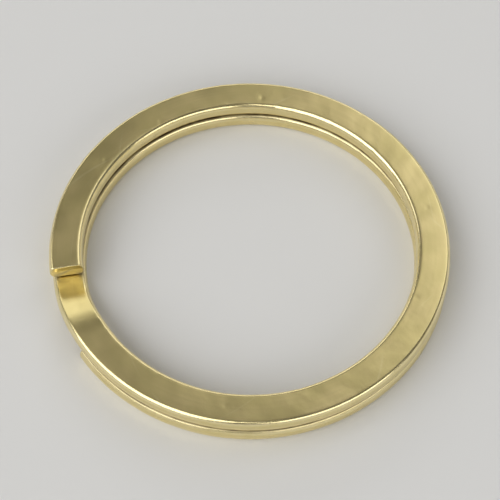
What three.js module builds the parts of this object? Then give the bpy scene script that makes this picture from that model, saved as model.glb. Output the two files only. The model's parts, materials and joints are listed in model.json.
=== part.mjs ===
// Split key ring: one flat brass strip wound a little under two turns, so that it lies as two
// coils, one on the other. Between its ends the strip steps up from the lower coil to the upper
// one in a short pressed crossover. Each free end can be pried away from its neighbour to thread
// a key, so the last half turn at each end is divided into short lengths that can follow the bend.
//
// Frame: millimetres, +Z up. The ring lies flat on the plane z = 0, centred on the Z axis, and
// its crossover is centred on the -X side. Places along the strip are running angles in degrees,
// counter-clockwise seen from above, from the lower free end to the upper one.
import * as THREE from "three";

// Driving dimensions.
const outerDiameter = 25;
const stripWidth = 2.1; // across the strip, along the ring's radius
const stripThickness = 1.05; // of one coil, along Z
const edgeRadius = 0.3; // the strip's four rolled edges
const coilClearance = 0.1; // between the two coils
const cutClearance = 0.05; // between one length of strip and the next

const crossoverCentre = 180;
const crossoverArc = 25;
const springArc = 180; // the pried length at each end of the strip
const springLinks = 9; // lengths that each springArc is divided into

const stationArc = 4; // the largest angle between two neighbouring sections
const crossoverStationArc = 2.5; // the same, where the strip steps up
const cornerSteps = 2; // straight steps round each rolled edge

// Sizes worked out from the driving dimensions.
const outerRadius = outerDiameter / 2;
const meanRadius = outerRadius - stripWidth / 2;
const coilRise = stripThickness + coilClearance;
const linkArc = springArc / springLinks;
const runArc = 360 - crossoverArc - springArc;
const halfCut = THREE.MathUtils.radToDeg(cutClearance / 2 / meanRadius);

// Running angles of the places where the strip changes.
const lowerEnd = crossoverCentre + crossoverArc / 2;
const lowerRunStart = lowerEnd + springArc;
const crossoverStart = lowerRunStart + runArc;
const upperRunStart = crossoverStart + crossoverArc;
const upperSpringStart = upperRunStart + runArc;

const brass = {
  face: new THREE.Color(0.62, 0.52, 0.28),
  roughness: 0.34,
  metalness: 1,
};

function brassMaterial() {
  return new THREE.MeshStandardMaterial({
    color: brass.face,
    roughness: brass.roughness,
    metalness: brass.metalness,
  });
}

// The strip's section as [radius, height] pairs, counter-clockwise, with its underside at z = 0.
function stripSection() {
  const innerRadius = outerRadius - stripWidth;
  const corners = [
    [outerRadius - edgeRadius, edgeRadius, -90],
    [outerRadius - edgeRadius, stripThickness - edgeRadius, 0],
    [innerRadius + edgeRadius, stripThickness - edgeRadius, 90],
    [innerRadius + edgeRadius, edgeRadius, 180],
  ];
  const points = [];
  for (const [centreRadius, centreHeight, firstAngle] of corners) {
    for (let step = 0; step <= cornerSteps; step += 1) {
      const angle = THREE.MathUtils.degToRad(firstAngle + (90 * step) / cornerSteps);
      points.push([
        centreRadius + edgeRadius * Math.cos(angle),
        centreHeight + edgeRadius * Math.sin(angle),
      ]);
    }
  }
  return points;
}

// A closed length of strip that starts at angle 0 and turns through arc, cut short by half the
// cut clearance at each end. heightAt gives the strip's height at each angle.
function stripGeometry(arc, largestStep, heightAt = () => 0) {
  const section = stripSection();
  const sides = section.length;
  const steps = Math.ceil(arc / largestStep);
  const positions = [];
  for (let station = 0; station <= steps; station += 1) {
    const degrees = THREE.MathUtils.lerp(halfCut, arc - halfCut, station / steps);
    const angle = THREE.MathUtils.degToRad(degrees);
    for (const [radius, height] of section) {
      positions.push(radius * Math.cos(angle), radius * Math.sin(angle), height + heightAt(degrees));
    }
  }

  const indices = [];
  for (let station = 0; station < steps; station += 1) {
    for (let side = 0; side < sides; side += 1) {
      const near = station * sides + side;
      const nearNext = station * sides + ((side + 1) % sides);
      const far = near + sides;
      const farNext = nearNext + sides;
      indices.push(near, far, farNext, near, farNext, nearNext);
    }
  }
  const last = steps * sides;
  for (let side = 1; side < sides - 1; side += 1) {
    indices.push(0, side, side + 1);
    indices.push(last, last + side + 1, last + side);
  }

  const geometry = new THREE.BufferGeometry();
  geometry.setAttribute("position", new THREE.Float32BufferAttribute(positions, 3));
  geometry.setIndex(indices);
  geometry.computeVertexNormals();
  return geometry;
}

// One named length of the strip, turned to where it starts and raised to its coil.
function stripMesh(name, geometry, startAngle, height) {
  const mesh = new THREE.Mesh(geometry, brassMaterial());
  mesh.name = name;
  mesh.rotation.z = THREE.MathUtils.degToRad(startAngle);
  mesh.position.z = height;
  return mesh;
}

// The crossover eases out of the lower coil and into the upper one.
function crossoverHeight(degrees) {
  return coilRise * THREE.MathUtils.smoothstep(degrees, 0, crossoverArc);
}

// The stiff middle of the strip: half a turn of each coil, joined by the crossover.
function middleOfStrip() {
  const group = new THREE.Group();
  const run = stripGeometry(runArc, stationArc);
  const ramp = stripGeometry(crossoverArc, crossoverStationArc, crossoverHeight);
  group.add(
    stripMesh("lower_run", run, lowerRunStart, 0),
    stripMesh("crossover", ramp, crossoverStart, 0),
    stripMesh("upper_run", run, upperRunStart, coilRise),
  );
  return group;
}

// The last half turn at one end. Links are numbered from the middle of the strip outwards, and
// the outermost one, which carries the cut end, is the tip.
function springEnd(coil, innermostStart, direction, height) {
  const group = new THREE.Group();
  const link = stripGeometry(linkArc, stationArc);
  for (let number = 1; number <= springLinks; number += 1) {
    const nearEdge = innermostStart + direction * linkArc * (number - 1);
    const startAngle = direction > 0 ? nearEdge : nearEdge - linkArc;
    const name = number < springLinks ? `${coil}_spring_${number}` : `${coil}_tip`;
    group.add(stripMesh(name, link, startAngle, height));
  }
  return group;
}

const splitRing = new THREE.Group();
splitRing.name = "split_key_ring";
splitRing.add(
  middleOfStrip(),
  springEnd("upper", upperSpringStart, 1, coilRise),
  springEnd("lower", lowerRunStart, -1, 0),
);

export default splitRing;
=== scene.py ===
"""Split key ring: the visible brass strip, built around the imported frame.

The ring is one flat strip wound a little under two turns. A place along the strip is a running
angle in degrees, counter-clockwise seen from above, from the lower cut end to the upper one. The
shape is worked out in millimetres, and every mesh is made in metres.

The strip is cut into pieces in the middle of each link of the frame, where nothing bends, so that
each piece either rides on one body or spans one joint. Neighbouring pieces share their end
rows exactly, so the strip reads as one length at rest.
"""

import json
import math

import bmesh
import bpy
import numpy as np
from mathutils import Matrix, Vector


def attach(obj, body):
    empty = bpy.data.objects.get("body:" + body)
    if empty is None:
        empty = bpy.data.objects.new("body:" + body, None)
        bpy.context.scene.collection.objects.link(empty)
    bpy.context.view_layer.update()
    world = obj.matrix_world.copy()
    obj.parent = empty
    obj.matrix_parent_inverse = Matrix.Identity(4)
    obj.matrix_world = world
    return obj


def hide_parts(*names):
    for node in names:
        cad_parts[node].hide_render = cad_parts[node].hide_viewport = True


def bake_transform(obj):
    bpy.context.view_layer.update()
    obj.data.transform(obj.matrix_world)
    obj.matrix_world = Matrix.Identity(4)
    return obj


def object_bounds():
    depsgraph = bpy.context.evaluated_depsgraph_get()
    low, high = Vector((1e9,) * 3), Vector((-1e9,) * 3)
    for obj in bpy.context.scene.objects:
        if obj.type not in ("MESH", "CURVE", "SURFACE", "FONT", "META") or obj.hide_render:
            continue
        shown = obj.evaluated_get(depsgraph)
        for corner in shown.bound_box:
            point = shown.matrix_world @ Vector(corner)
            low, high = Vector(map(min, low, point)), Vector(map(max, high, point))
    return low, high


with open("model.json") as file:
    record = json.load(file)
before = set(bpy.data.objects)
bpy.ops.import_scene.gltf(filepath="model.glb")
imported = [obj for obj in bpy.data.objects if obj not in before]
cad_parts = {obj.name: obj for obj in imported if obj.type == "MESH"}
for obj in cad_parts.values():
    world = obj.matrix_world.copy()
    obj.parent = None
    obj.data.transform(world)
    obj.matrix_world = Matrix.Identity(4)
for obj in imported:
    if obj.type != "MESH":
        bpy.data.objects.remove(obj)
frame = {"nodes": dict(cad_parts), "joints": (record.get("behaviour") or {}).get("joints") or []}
cad_low, cad_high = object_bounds()

MM = 0.001

# The strip, in millimetres. Its diameter and its total height come from the frame.
OUTER_RADIUS = (cad_high.x - cad_low.x) / 2 / MM
RING_HEIGHT = (cad_high.z - cad_low.z) / MM
STRIP_WIDTH = 2.1
STRIP_THICKNESS = 1.07
EDGE_ACROSS = 0.3  # the rolled edges are quarter ellipses, with these half axes
EDGE_UP = 0.46
FACE_CROWN = 0.022  # share of the thickness that the faces lose towards the strip's sides
CUT_EDGE_RADIUS = 0.08  # of the rim round each sheared end
CUT_FACE_INSET = 0.03  # from that rim to the flat middle of the cut face
MEAN_RADIUS = OUTER_RADIUS - STRIP_WIDTH / 2

# Running angles along the strip, in degrees. The crossover is on the ring's -X side.
CROSSOVER_CENTRE = 540
CROSSOVER_ARC = 25
LINK_ARC = 20
CROSSOVER_START = CROSSOVER_CENTRE - CROSSOVER_ARC / 2
CROSSOVER_END = CROSSOVER_CENTRE + CROSSOVER_ARC / 2
LOWER_END = CROSSOVER_CENTRE - 360 + CROSSOVER_ARC / 2
UPPER_END = CROSSOVER_CENTRE + 360 - CROSSOVER_ARC / 2
HALF_BEND = LINK_ARC / 2  # how far a bending piece reaches on each side of its joint
KNEE_SHARE = 0.36  # share of the crossover that each of its two knees takes

# How finely the strip is drawn. The angles are in degrees.
STATION_STEP = 0.5
CROSSOVER_STEP = 0.25
CROSSOVER_MARGIN = 3  # how far past the crossover its finer step goes on
SEAM_ROW = 0.03  # from each end of a piece to its next row
CORNER_STEPS = 9
FACE_STEPS = 14
WALL_STEPS = 2
CUT_STEPS = 4

# How the coils lie on each other, in millimetres and degrees.
COIL_DRIFT = 0.05  # how far the coils stray from the mean radius, to either side
DRIFT_PHASE = 70  # the drift takes two turns of the ring to repeat
LANDING_LIFT = 0.035  # the upper coil rides a little high where it comes off the crossover
LANDING_OFFSET = 14  # from the crossover's end to where it rides highest
LANDING_SPREAD = 22
FREE_END_LIFT = 0.03  # the same, at its free end
FREE_END_ARC = 60

# The waviness that winding leaves. Each wave has its radians for each millimetre along the strip,
# its turns for each time round the outline, its phase and its weight.
WAVE_HEIGHT = 0.0028
WAVES = (
    (1.13, 2, 0.0, 1.0),
    (2.31, -1, 1.3, 0.7),
    (4.7, 3, 0.4, 0.5),
)

# The dents that loose rings give each other, in millimetres: as many on the rolled edges as on
# the whole outline.
NICK_COUNT = 44
NICK_SEED = 11
NICK_SIZE = (0.11, 0.22)
NICK_DEPTH = (0.006, 0.024)
NICK_SCATTER = 0.1
NICK_FREE_ARC = 2  # degrees without a dent at each cut end

# How rubbed the strip is, where the rolled edges are 1 and the faces 0.
WALL_RUB = 0.55
CUT_RIM_RUB = 0.8
CREST_RUB = 0.9  # an outline point that is more rubbed than this is on the crest of an edge

# Where the painted shade between the coils begins and where it is at its darkest: as shares of the half
# thickness and the half width, and as degrees from the middle of the crossover.
GROOVE_UP = (0.8, 0.98)
GROOVE_ACROSS = (0.52, 0.72)
GROOVE_AWAY = (8, 16)

# Brass, as linear colours.
OLIVE = (0.77, 0.66, 0.325, 1)
GOLD = (0.87, 0.735, 0.385, 1)
PALE = (0.95, 0.84, 0.52, 1)
# Painted shade: the dark brown put in the groove between the coils.
GROOVE_SHADE = (0.07, 0.042, 0.016, 1)

# How far one colour or finish covers another, from 0 to 1.
LEAST_WORN = 0.6  # the pale colour, on the rubbed edges
LEAST_GROOVE_SHADE = 0.7  # the painted shade, in the groove
SCRATCH_SHINE = 0.45
DRAWN_TINT = 0.35
CUT_SHINE = 0.35
# how far the painted shade in the groove takes the metal's shine away
GROOVE_SHADE_OVER_METAL = 0.85

# Roughness: the satin of the faces, what each kind of wear adds to it or takes away, and what the
# painted shade in the groove adds. The faces stay above 0.28, because the render's denoiser leaves
# small patches where they cross a value just below that.
SATIN = (0.295, 0.345)
DRAWN_ROUGHNESS = 0.008
RUBBED_POLISH = 0.13
GROOVE_SHADE_ROUGHNESS = 0.2
TORN_ROUGHNESS = 0.16
LEAST_ROUGHNESS = 0.12

# The grain of each kind of mark, in cells to the millimetre: in every direction, or along the
# marks and across them.
CLOUD_CELLS = 0.4
WEAR_CELLS = 1.2
# the unevenness of the painted shade in the groove
GROOVE_SHADE_CELLS = 0.8
HANDLING_CELLS = 0.55
TUMBLING_CELLS = 2.6
DRAWN_CELLS = (0.06, 4.0)
HAIRLINE_CELLS = (0.1, 5.0)
HAIRLINE_PATCH_CELLS = (0.3, 2.2)
SHEAR_CELLS = (1.1, 16.0)

# Relief too fine for the mesh: how strongly it shows, and its depth in millimetres.
TUMBLED_RELIEF = (0.3, 0.02)
DRAWN_RELIEF = (0.5, 0.004)
SCRATCH_RELIEF = (0.25, 0.002)
SHEAR_RELIEF = (0.8, 0.03)

# Between which values of its noise a mark fades in. Most noise lies in the first range.
MOST_NOISE = (0.3, 0.7)
CLOUD_FADE = (0.35, 0.68)
WEAR_FADE = (0.25, 0.6)
DRAWN_FADE = (0.4, 0.65)
HAIRLINE_FADE = (0.68, 0.82)
HAIRLINE_PATCH_FADE = (0.5, 0.66)

# Sets of hairline scratches: degrees from the strip's length, and how widely they are spaced,
# where 1 is the grain above.
HAIRLINES = ((24, 1.0), (-37, 1.2), (5, 0.8))

# Millimetres above each coil's underside between which a cut turns from torn to burnished, and how
# far the shear lines pull that border down.
BURNISHED_FROM = (0.74, 0.86)
BURNISHED_RAGGED = 0.25

# The camera's place, in degrees, and its lens and view at the ring, in millimetres.
CAMERA_AZIMUTH = -22
CAMERA_ELEVATION = 59
CAMERA_LENS = 100
FRAME_WIDTH = 31.5

# The stage and the camera's clipping, in metres.
CLIP_START = 0.002
CLIP_END = 20
FLAT_FLOOR = 0.4
SWEEP = 0.15
SWEEP_STEPS = 12
FLOOR_SIDES = 96
MERGE_DISTANCE = 1e-5
FLOOR_COLOUR = (0.74, 0.735, 0.72, 1)
FLOOR_ROUGHNESS = 0.75
FLOOR_SPECULAR = 0.25
LIGHT_DISTANCE = 1.2
WORLD_COLOUR = (1.0, 0.99, 0.97, 1)
WORLD_STRENGTH = 0.14


# ---------------------------------------------------------------- camera, floor and light

def direction(azimuth, elevation):
    """Unit vector from the object to a place at this azimuth and elevation."""
    a, e = math.radians(azimuth), math.radians(elevation)
    return Vector((math.sin(a) * math.cos(e), -math.cos(a) * math.cos(e), math.sin(e)))


def look_at(obj, place, target):
    obj.location = place
    obj.rotation_mode = "QUATERNION"
    obj.rotation_quaternion = (target - place).to_track_quat("-Z", "Y")


def make_camera(target):
    data = bpy.data.cameras.new("camera")
    data.lens = CAMERA_LENS
    data.clip_start = CLIP_START
    data.clip_end = CLIP_END
    camera = bpy.data.objects.new("camera", data)
    bpy.context.scene.collection.objects.link(camera)
    distance = FRAME_WIDTH * MM * data.lens / data.sensor_width
    look_at(camera, target + direction(CAMERA_AZIMUTH, CAMERA_ELEVATION) * distance, target)
    bpy.context.scene.camera = camera


def floor_mesh():
    """A round table that sweeps up at its rim, so that no horizon shows from low down."""
    rings = [(0.0, 0.0)]
    for step in range(SWEEP_STEPS + 1):
        turn = math.radians(90) * step / SWEEP_STEPS
        rings.append((FLAT_FLOOR + SWEEP * math.sin(turn), SWEEP * (1 - math.cos(turn))))
    shape = bmesh.new()
    profile = [shape.verts.new((radius, 0, height)) for radius, height in rings]
    edges = [shape.edges.new(pair) for pair in zip(profile, profile[1:])]
    bmesh.ops.spin(shape, geom=profile + edges, cent=(0, 0, 0), axis=(0, 0, 1),
                   angle=math.radians(360), steps=FLOOR_SIDES, use_merge=True)
    bmesh.ops.remove_doubles(shape, verts=shape.verts, dist=MERGE_DISTANCE)
    for face in shape.faces:
        face.smooth = True
    mesh = bpy.data.meshes.new("floor")
    shape.to_mesh(mesh)
    shape.free()
    return mesh


def floor_material():
    material = bpy.data.materials.new("pale_floor")
    material.use_nodes = True
    shader = material.node_tree.nodes["Principled BSDF"]
    shader.inputs["Base Color"].default_value = FLOOR_COLOUR
    shader.inputs["Roughness"].default_value = FLOOR_ROUGHNESS
    shader.inputs["Specular IOR Level"].default_value = FLOOR_SPECULAR
    return material


def make_floor():
    floor = bpy.data.objects.new("floor", floor_mesh())
    bpy.context.scene.collection.objects.link(floor)
    floor.data.materials.append(floor_material())


def softbox(name, azimuth, elevation, width, height, radiance):
    data = bpy.data.lights.new(name, "AREA")
    data.shape = "RECTANGLE"
    data.size = width
    data.size_y = height
    data.energy = radiance * width * height * math.pi
    light = bpy.data.objects.new(name, data)
    light.visible_camera = False
    bpy.context.scene.collection.objects.link(light)
    look_at(light, direction(azimuth, elevation) * LIGHT_DISTANCE, Vector((0, 0, 0)))


def make_light():
    softbox("key", azimuth=-76, elevation=40, width=1.6, height=1.3, radiance=1.65)
    softbox("key_back", azimuth=-130, elevation=36, width=0.6, height=0.6, radiance=0.95)
    softbox("front", azimuth=15, elevation=26, width=1.2, height=0.6, radiance=1.4)
    softbox("back", azimuth=166, elevation=20, width=1.4, height=0.4, radiance=1.3)
    softbox("back_high", azimuth=120, elevation=46, width=0.8, height=0.8, radiance=0.9)
    softbox("overhead", azimuth=190, elevation=76, width=1.0, height=0.8, radiance=0.1)
    world = bpy.data.worlds.new("studio")
    bpy.context.scene.world = world
    world.use_nodes = True
    background = world.node_tree.nodes["Background"]
    background.inputs["Color"].default_value = WORLD_COLOUR
    background.inputs["Strength"].default_value = WORLD_STRENGTH
    bpy.context.scene.view_settings.view_transform = "Standard"
    bpy.context.scene.view_settings.look = "Medium High Contrast"


# ---------------------------------------------------------------- the strip's outline

def outline():
    """The strip's outline, counter-clockwise from the middle of its underside: two flat faces and
    rounded sides. Returns its radial and upward offsets, how rubbed each point is, and how far
    round the outline it lies, with the whole way round at the end."""
    half = STRIP_THICKNESS / 2
    side = STRIP_WIDTH / 2
    flat = side - EDGE_ACROSS
    wall = half - EDGE_UP
    across, up, rubbed = [], [], []

    def straight(start, end, steps, rub):
        for step in range(steps):
            share = step / steps
            across.append(start[0] + (end[0] - start[0]) * share)
            up.append(start[1] + (end[1] - start[1]) * share)
            rubbed.append(rub)

    def corner(centre, first_angle, rub_before, rub_after):
        for step in range(CORNER_STEPS):
            share = step / CORNER_STEPS
            angle = math.radians(first_angle + 90 * share)
            across.append(centre[0] + EDGE_ACROSS * math.cos(angle))
            up.append(centre[1] + EDGE_UP * math.sin(angle))
            rubbed.append(max(rub_before + (rub_after - rub_before) * share, math.sin(math.pi * share)))

    straight((0, -half), (flat, -half), FACE_STEPS // 2, 0)
    corner((flat, -wall), -90, 0, WALL_RUB)
    straight((side, -wall), (side, wall), WALL_STEPS, WALL_RUB)
    corner((flat, wall), 0, WALL_RUB, 0)
    straight((flat, half), (-flat, half), FACE_STEPS, 0)
    corner((-flat, wall), 90, 0, WALL_RUB)
    straight((-side, wall), (-side, -wall), WALL_STEPS, WALL_RUB)
    corner((-flat, -wall), 180, WALL_RUB, 0)
    straight((-flat, -half), (0, -half), FACE_STEPS // 2, 0)

    across, up = np.array(across), np.array(up)
    up = up * (1 - FACE_CROWN * (across / side) ** 2)
    steps = np.hypot(np.diff(across, append=across[0]), np.diff(up, append=up[0]))
    return across, up, np.array(rubbed), np.concatenate([[0], np.cumsum(steps)])


ACROSS, UP, RUBBED, ROUND = outline()
PERIMETER = ROUND[-1]


def outward():
    """Unit normals of the outline, as radial and upward parts."""
    along_across = np.roll(ACROSS, -1) - np.roll(ACROSS, 1)
    along_up = np.roll(UP, -1) - np.roll(UP, 1)
    length = np.hypot(along_across, along_up)
    return along_up / length, -along_across / length


NORMAL_ACROSS, NORMAL_UP = outward()


# ---------------------------------------------------------------- the strip's centreline

def eased(x, limits):
    """0 up to the first limit, 1 from the second one on, and smooth between them."""
    start, end = limits
    x = np.clip((x - start) / (end - start), 0, 1)
    return x * x * (3 - 2 * x)


def stepped(angle):
    """Share of the rise between the coils: an even slope between two rounded knees."""
    knee = KNEE_SHARE
    x = np.clip((angle - CROSSOVER_START) / CROSSOVER_ARC, 0, 1)
    first = x * x / (2 * knee * (1 - knee))
    middle = (x - knee / 2) / (1 - knee)
    last = 1 - (1 - x) ** 2 / (2 * knee * (1 - knee))
    return np.where(x < knee, first, np.where(x > 1 - knee, last, middle))


def centre_height(angle):
    """Height of the strip's centreline, in millimetres."""
    rise = RING_HEIGHT - STRIP_THICKNESS
    past_landing = (angle - CROSSOVER_END - LANDING_OFFSET) / LANDING_SPREAD
    landing = LANDING_LIFT * np.exp(-(past_landing ** 2))
    free_end = FREE_END_LIFT * eased(angle, (UPPER_END - FREE_END_ARC, UPPER_END))
    return STRIP_THICKNESS / 2 + rise * stepped(angle) + landing + free_end


def centre_radius(angle):
    """Radius of the strip's centreline: the two coils never lie quite square on each other."""
    return MEAN_RADIUS + COIL_DRIFT * np.cos(np.radians(angle / 2 - DRIFT_PHASE))


def slope(angle):
    """How steeply the strip climbs, in radians."""
    small = 0.01
    climbed = centre_height(angle + small) - centre_height(angle - small)
    return np.arctan(climbed / np.radians(2 * small) / MEAN_RADIUS)


# ---------------------------------------------------------------- the strip's surface

def nicks():
    """Places along the strip and round its outline of the small dents, with sizes and depths."""
    draw = np.random.default_rng(NICK_SEED)
    places = draw.uniform(LOWER_END + NICK_FREE_ARC, UPPER_END - NICK_FREE_ARC, 2 * NICK_COUNT)
    crests = ROUND[:-1][RUBBED > CREST_RUB]
    on_crests = draw.choice(crests, NICK_COUNT)
    on_crests = on_crests + draw.uniform(-NICK_SCATTER, NICK_SCATTER, NICK_COUNT)
    anywhere = draw.uniform(0, PERIMETER, NICK_COUNT)
    sizes = draw.uniform(*NICK_SIZE, 2 * NICK_COUNT)
    depths = draw.uniform(*NICK_DEPTH, 2 * NICK_COUNT)
    return places, np.concatenate([on_crests, anywhere]), sizes, depths


NICKS = nicks()


def relief(angle):
    """Height of the worn surface above the drawn strip, for each angle and outline point."""
    length = np.radians(angle)[:, None] * MEAN_RADIUS
    round_way = ROUND[None, :-1] / PERIMETER * 2 * math.pi
    height = np.zeros((len(angle), len(UP)))
    for along, turns, phase, weight in WAVES:
        height = height + WAVE_HEIGHT * weight * np.sin(length * along + round_way * turns + phase)
    for place, round_place, size, depth in zip(*NICKS):
        along = length - math.radians(place) * MEAN_RADIUS
        turned = np.abs(ROUND[None, :-1] - round_place)
        aside = np.minimum(turned, PERIMETER - turned)
        height = height - depth * np.exp(-(along ** 2 + aside ** 2) / size ** 2)
    return height


def stations(start, end):
    """Running angles of the rows of one piece, with a row just inside each end."""
    fine_start = max(start, CROSSOVER_START - CROSSOVER_MARGIN)
    fine_end = min(end, CROSSOVER_END + CROSSOVER_MARGIN)
    angles = list(np.arange(start, end, STATION_STEP))
    if fine_start < fine_end:
        angles += list(np.arange(fine_start, fine_end, CROSSOVER_STEP))
    angles = [a for a in angles if start + 2 * SEAM_ROW < a < end - 2 * SEAM_ROW]
    return np.array(sorted({start, start + SEAM_ROW, end - SEAM_ROW, end, *angles}))


def rows(angles, inset=0.0, advance=0.0):
    """Rows of points at these running angles, in metres. inset shrinks the outline and advance
    moves the row along the strip, both in millimetres."""
    lift = relief(angles) - inset
    across = ACROSS[None, :] + NORMAL_ACROSS[None, :] * lift
    up = UP[None, :] + NORMAL_UP[None, :] * lift
    climb = slope(angles)[:, None]
    radius = centre_radius(angles)[:, None] + across
    height = centre_height(angles)[:, None] + up * np.cos(climb)
    turned = np.radians(angles)[:, None] + (advance - up * np.sin(climb)) / MEAN_RADIUS
    points = np.stack([radius * np.cos(turned), radius * np.sin(turned), height], axis=-1)
    return points * MM


def in_groove(angles):
    """How far each point lies in the painted shade along the groove between the coils, 0 to 1."""
    towards = np.where(angles < CROSSOVER_CENTRE, 1.0, -1.0)[:, None]
    near_other = eased(towards * UP[None, :] / (STRIP_THICKNESS / 2), GROOVE_UP)
    near_side = eased(np.abs(ACROSS[None, :]) / (STRIP_WIDTH / 2), GROOVE_ACROSS)
    away_from_step = eased(np.abs(angles - CROSSOVER_CENTRE), GROOVE_AWAY)[:, None]
    return near_other * near_side * away_from_step


# ---------------------------------------------------------------- meshes

class Strip:
    """Collects rows of the strip's outline into one closed mesh."""

    def __init__(self):
        self.points = []
        self.lengths = []
        self.rubbed = []
        self.groove = []
        self.cut = []

    def add(self, angles, inset=0.0, advance=0.0, cut=0.0):
        """Adds a row at each of these angles. cut is how far the rows lie on a cut face, 0 to 1."""
        self.points.extend(rows(angles, inset, advance))
        self.lengths.extend(np.radians(angles) * MEAN_RADIUS + advance)
        self.rubbed.extend([np.maximum(RUBBED, CUT_RIM_RUB * (inset > 0))] * len(angles))
        self.groove.extend(in_groove(angles))
        self.cut.extend([np.full(len(UP), cut)] * len(angles))

    def cut_end(self, angle, way):
        """Rounds the rim of a sheared end and closes in on its middle. way is the way it faces."""
        loops = []
        for step in range(1, CUT_STEPS + 1):
            turn = math.pi / 2 * step / CUT_STEPS
            inset = CUT_EDGE_RADIUS * (1 - math.cos(turn))
            advance = CUT_EDGE_RADIUS * (math.sin(turn) - 1)
            loops.append((inset, advance, step / CUT_STEPS))
        loops.append((CUT_EDGE_RADIUS + CUT_FACE_INSET, 0.0, 1.0))
        for inset, advance, cut in loops if way > 0 else reversed(loops):
            self.add(np.array([angle]), inset, way * advance, cut)

    def faces(self):
        """Quads between neighbouring rows, and one face at each end."""
        sides = len(UP)
        corner = np.arange(sides)
        following = (corner + 1) % sides
        faces = []
        for row in range(len(self.points) - 1):
            near, far = row * sides, (row + 1) * sides
            quads = np.stack([near + corner, far + corner, far + following, near + following], 1)
            faces.extend(quads.tolist())
        last = (len(self.points) - 1) * sides
        faces.append(list(range(sides)))
        faces.append([last + side for side in reversed(range(sides))])
        return faces

    def mesh(self, name):
        mesh = bpy.data.meshes.new(name)
        points = np.array(self.points).reshape(-1, 3)
        mesh.from_pydata(points.tolist(), [], self.faces())
        mesh.shade_smooth()
        self.sharpen_rims(mesh)
        self.write_uv(mesh)
        write_attribute(mesh, "rubbed", "FLOAT", "value", self.rubbed)
        write_attribute(mesh, "groove", "FLOAT", "value", self.groove)
        write_attribute(mesh, "cut", "FLOAT", "value", self.cut)
        write_attribute(mesh, "rest_place", "FLOAT_VECTOR", "vector", points / MM)
        mesh.update()
        mesh.validate()
        return mesh

    def sharpen_rims(self, mesh):
        """Stops the end faces from tilting the rims' normals, which would show as seams."""
        sides = len(UP)
        last = (len(self.points) - 1) * sides
        pairs = np.empty(len(mesh.edges) * 2, int)
        mesh.edges.foreach_get("vertices", pairs)
        pairs = pairs.reshape(-1, 2)
        rims = (pairs.max(axis=1) < sides) | (pairs.min(axis=1) >= last)
        mesh.edges.foreach_set("use_edge_sharp", rims)

    def write_uv(self, mesh):
        """Millimetres along the strip and round its outline."""
        layer = mesh.uv_layers.new(name="strip")
        lengths = np.array(self.lengths)
        near, far = lengths[:-1], lengths[1:]
        u = np.stack([near, far, far, near], 1)
        u = np.repeat(u[:, None, :], len(UP), axis=1)
        v = np.stack([ROUND[:-1], ROUND[:-1], ROUND[1:], ROUND[1:]], 1)
        v = np.repeat(v[None, :, :], len(lengths) - 1, axis=0)
        walls = np.stack([u, v], -1).reshape(-1, 2)
        first = np.stack([ACROSS + lengths[0], UP], -1)
        final = np.stack([ACROSS + lengths[-1], UP], -1)[::-1]
        layer.data.foreach_set("uv", np.concatenate([walls, first, final]).astype(np.float32).ravel())


def write_attribute(mesh, name, kind, field, values):
    attribute = mesh.attributes.new(name, kind, "POINT")
    attribute.data.foreach_set(field, np.array(values).astype(np.float32).ravel())


def add_piece(name, strip, material):
    mesh = strip.mesh(name)
    mesh.materials.append(material)
    piece = bpy.data.objects.new(name, mesh)
    bpy.context.scene.collection.objects.link(piece)
    return piece


# ---------------------------------------------------------------- brass

class Nodes:
    """Short calls for building a material's node tree."""

    def __init__(self, tree):
        self.tree = tree

    def new(self, kind, **settings):
        node = self.tree.nodes.new(kind)
        for name, value in settings.items():
            setattr(node, name, value)
        return node

    def put(self, socket, value):
        if isinstance(value, bpy.types.NodeSocket):
            self.tree.links.new(value, socket)
        elif value is not None:
            socket.default_value = value

    def attribute(self, name, output="Fac"):
        return self.new("ShaderNodeAttribute", attribute_name=name).outputs[output]

    def maths(self, operation, a, b):
        node = self.new("ShaderNodeMath", operation=operation)
        self.put(node.inputs[0], a)
        self.put(node.inputs[1], b)
        return node.outputs[0]

    def spread(self, value, low, high, to_low=0.0, to_high=1.0):
        """Turns low to high into to_low to to_high, and holds it there beyond them."""
        node = self.new("ShaderNodeMapRange", interpolation_type="SMOOTHSTEP")
        for name, given in zip(("Value", "From Min", "From Max", "To Min", "To Max"),
                               (value, low, high, to_low, to_high)):
            self.put(node.inputs[name], given)
        return node.outputs["Result"]

    def stretched(self, vector, scale):
        node = self.new("ShaderNodeVectorMath", operation="MULTIPLY")
        self.put(node.inputs[0], vector)
        self.put(node.inputs[1], scale)
        return node.outputs[0]

    def noise(self, vector, cells=1.0, detail=2.0, roughness=0.5):
        node = self.new("ShaderNodeTexNoise")
        self.put(node.inputs["Vector"], vector)
        self.put(node.inputs["Scale"], cells)
        self.put(node.inputs["Detail"], detail)
        self.put(node.inputs["Roughness"], roughness)
        return node.outputs["Fac"]

    def mix(self, share, a, b):
        node = self.new("ShaderNodeMix", data_type="RGBA")
        self.put(node.inputs["Factor"], share)
        self.put(node.inputs["A"], a)
        self.put(node.inputs["B"], b)
        return node.outputs["Result"]

    def bump(self, height, strength, depth, normal=None):
        node = self.new("ShaderNodeBump")
        self.put(node.inputs["Strength"], strength)
        self.put(node.inputs["Distance"], depth * MM)
        self.put(node.inputs["Height"], height)
        self.put(node.inputs["Normal"], normal)
        return node.outputs["Normal"]


def hairlines(n, uv, turn, spacing):
    """Fine straight scratches that cross the strip at one angle, as a share from 0 to 1."""
    turned = n.new("ShaderNodeVectorRotate", rotation_type="Z_AXIS")
    n.put(turned.inputs["Vector"], uv)
    n.put(turned.inputs["Angle"], math.radians(turn))

    def lined(cells):
        along, across = cells
        return n.noise(n.stretched(turned.outputs[0], (along, across / spacing, 1)), detail=0.0)

    lines = n.spread(lined(HAIRLINE_CELLS), *HAIRLINE_FADE)
    patches = n.spread(lined(HAIRLINE_PATCH_CELLS), *HAIRLINE_PATCH_FADE)
    return n.maths("MULTIPLY", lines, patches)


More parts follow.
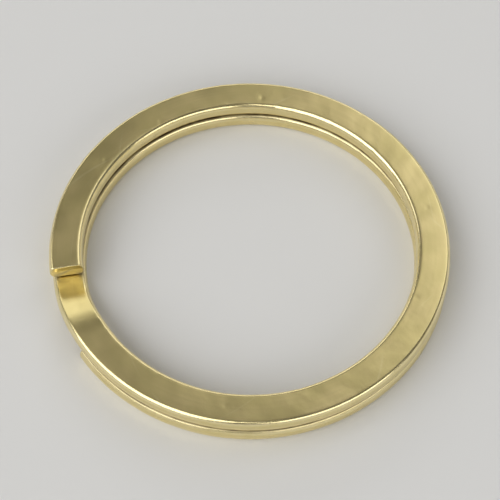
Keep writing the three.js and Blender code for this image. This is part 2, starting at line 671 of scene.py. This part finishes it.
def shear_marks(n, place):
    """Lines that the blade drew up the sheared ends, and the burnished band where it went in."""
    axes = n.new("ShaderNodeSeparateXYZ")
    n.put(axes.inputs[0], place)
    height = axes.outputs["Z"]
    radius = n.new("ShaderNodeVectorMath", operation="LENGTH")
    n.put(radius.inputs[0], n.stretched(place, (1, 1, 0)))
    along, across = SHEAR_CELLS
    face = n.new("ShaderNodeCombineXYZ")
    n.put(face.inputs["X"], n.maths("MULTIPLY", radius.outputs["Value"], across))
    n.put(face.inputs["Y"], n.maths("MULTIPLY", height, along))
    lines = n.noise(face.outputs[0], detail=3.0, roughness=0.65)
    above_underside = n.maths("MODULO", height, RING_HEIGHT / 2)
    ragged = n.maths("ADD", above_underside, n.maths("MULTIPLY", lines, BURNISHED_RAGGED))
    return lines, n.spread(ragged, *BURNISHED_FROM)


class Marks:
    """The wear, the tool marks and the painted shade in the groove that the brass's colour, roughness
    and relief follow.
    """

    def __init__(self, n):
        uv = n.new("ShaderNodeUVMap", uv_map="strip").outputs[0]
        self.place = n.attribute("rest_place", "Vector")
        self.rubbed = n.attribute("rubbed")
        self.groove = n.attribute("groove")
        self.cut = n.attribute("cut")
        self.drawn = n.noise(n.stretched(uv, (*DRAWN_CELLS, 1)), detail=1.0)
        self.scratches = 0.0
        for turn, spacing in HAIRLINES:
            self.scratches = n.maths("MAXIMUM", self.scratches, hairlines(n, uv, turn, spacing))
        self.shear_lines, burnished = shear_marks(n, self.place)
        self.torn = n.maths("MULTIPLY", self.cut, n.maths("SUBTRACT", 1.0, burnished))


def brass_colour(n, marks):
    """Olive and gold in soft clouds, pale where it is rubbed or scratched, and painted shade in the
    groove.
    """
    cloudy = n.spread(n.noise(marks.place, CLOUD_CELLS), *CLOUD_FADE)
    colour = n.mix(cloudy, OLIVE, GOLD)
    wear = n.spread(n.noise(marks.place, WEAR_CELLS), *WEAR_FADE, to_low=LEAST_WORN)
    colour = n.mix(n.maths("MULTIPLY", marks.rubbed, wear), colour, PALE)
    colour = n.mix(n.maths("MULTIPLY", marks.scratches, SCRATCH_SHINE), colour, PALE)
    colour = n.mix(n.spread(marks.drawn, *DRAWN_FADE, to_high=DRAWN_TINT), colour, OLIVE)
    # Painted shade in the groove between the coils, a little uneven.
    shade_unevenness = n.spread(n.noise(marks.place, GROOVE_SHADE_CELLS), *MOST_NOISE, to_low=LEAST_GROOVE_SHADE)
    colour = n.mix(n.maths("MULTIPLY", marks.groove, shade_unevenness), colour, GROOVE_SHADE)
    return n.mix(n.maths("MULTIPLY", marks.cut, CUT_SHINE), colour, GOLD)


def brass_roughness(n, marks):
    """Satin faces, polished edges, torn metal, and the dull painted shade in the groove."""
    handled = n.noise(marks.place, HANDLING_CELLS, detail=1.0)
    roughness = n.spread(handled, *MOST_NOISE, *SATIN)
    drawn = n.spread(marks.drawn, *MOST_NOISE, -DRAWN_ROUGHNESS, DRAWN_ROUGHNESS)
    roughness = n.maths("ADD", roughness, drawn)
    roughness = n.maths("SUBTRACT", roughness, n.maths("MULTIPLY", marks.rubbed, RUBBED_POLISH))
    roughness = n.maths("ADD", roughness, n.maths("MULTIPLY", marks.groove, GROOVE_SHADE_ROUGHNESS))
    roughness = n.maths("ADD", roughness, n.maths("MULTIPLY", marks.torn, TORN_ROUGHNESS))
    return n.maths("MAXIMUM", roughness, LEAST_ROUGHNESS)


def brass_relief(n, marks):
    """Tumbling marks, drawn lines, hairline scratches and shear lines, as a bumped normal."""
    normal = n.bump(n.noise(marks.place, TUMBLING_CELLS), *TUMBLED_RELIEF)
    normal = n.bump(marks.drawn, *DRAWN_RELIEF, normal)
    normal = n.bump(n.maths("SUBTRACT", 1.0, marks.scratches), *SCRATCH_RELIEF, normal)
    return n.bump(n.maths("MULTIPLY", marks.shear_lines, marks.torn), *SHEAR_RELIEF, normal)


def brass_material():
    material = bpy.data.materials.new("brass")
    material.use_nodes = True
    n = Nodes(material.node_tree)
    marks = Marks(n)
    # The painted shade in the groove also gives up most of the metal, so that it reads darker.
    shade_over_metal = n.maths("MULTIPLY", marks.groove, GROOVE_SHADE_OVER_METAL)
    shader = material.node_tree.nodes["Principled BSDF"]
    n.put(shader.inputs["Base Color"], brass_colour(n, marks))
    n.put(shader.inputs["Metallic"], n.maths("SUBTRACT", 1.0, shade_over_metal))
    n.put(shader.inputs["Roughness"], brass_roughness(n, marks))
    n.put(shader.inputs["Normal"], brass_relief(n, marks))
    return material


# ---------------------------------------------------------------- pieces

def running_angle(joint):
    """Where a joint lies along the strip."""
    place = Vector(joint["pos_m"])
    angle = math.degrees(math.atan2(place.y, place.x))
    if place.z < RING_HEIGHT * MM / 2:
        return LOWER_END + (angle - LOWER_END) % 360
    return UPPER_END - (UPPER_END - angle) % 360


def bending_piece(joint, material):
    """The length of strip from the middle of one link to the middle of the next. Returns the
    running angle of the joint that it spans."""
    # Rounded, so that neighbouring pieces work out the same angle for the row that they share.
    angle = round(running_angle(joint), 1)
    strip = Strip()
    strip.add(stations(angle - HALF_BEND, angle + HALF_BEND))
    piece = add_piece("strip_" + joint["name"], strip, material)
    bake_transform(piece)
    if joint["child"] in frame["nodes"]:
        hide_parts(joint["child"])
    return angle


def tip_piece(node, start, end, material):
    """The last half link, with the sheared end on it."""
    strip = Strip()
    edge = math.degrees(CUT_EDGE_RADIUS / MEAN_RADIUS)
    if end == UPPER_END:
        strip.add(stations(start, end - edge))
        strip.cut_end(end, 1)
    else:
        strip.cut_end(start, -1)
        strip.add(stations(start + edge, end))
    piece = add_piece("strip_" + node, strip, material)
    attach(piece, node)
    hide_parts(node)


def middle_piece(start, end, material):
    """The stiff middle of the strip, with the crossover in it."""
    strip = Strip()
    strip.add(stations(start, end))
    piece = add_piece("strip_middle", strip, material)
    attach(piece, "hoop")
    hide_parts("lower_run", "crossover", "upper_run")


make_camera(Vector((0, 0, RING_HEIGHT / 2 * MM)))
make_floor()
make_light()

brass = brass_material()
bends = sorted(bending_piece(joint, brass) for joint in frame["joints"])
lower_bends = [angle for angle in bends if angle < CROSSOVER_START]
upper_bends = [angle for angle in bends if angle > CROSSOVER_END]
tip_piece("lower_tip", LOWER_END, lower_bends[0] - HALF_BEND, brass)
middle_piece(lower_bends[-1] + HALF_BEND, upper_bends[0] - HALF_BEND, brass)
tip_piece("upper_tip", upper_bends[-1] + HALF_BEND, UPPER_END, brass)
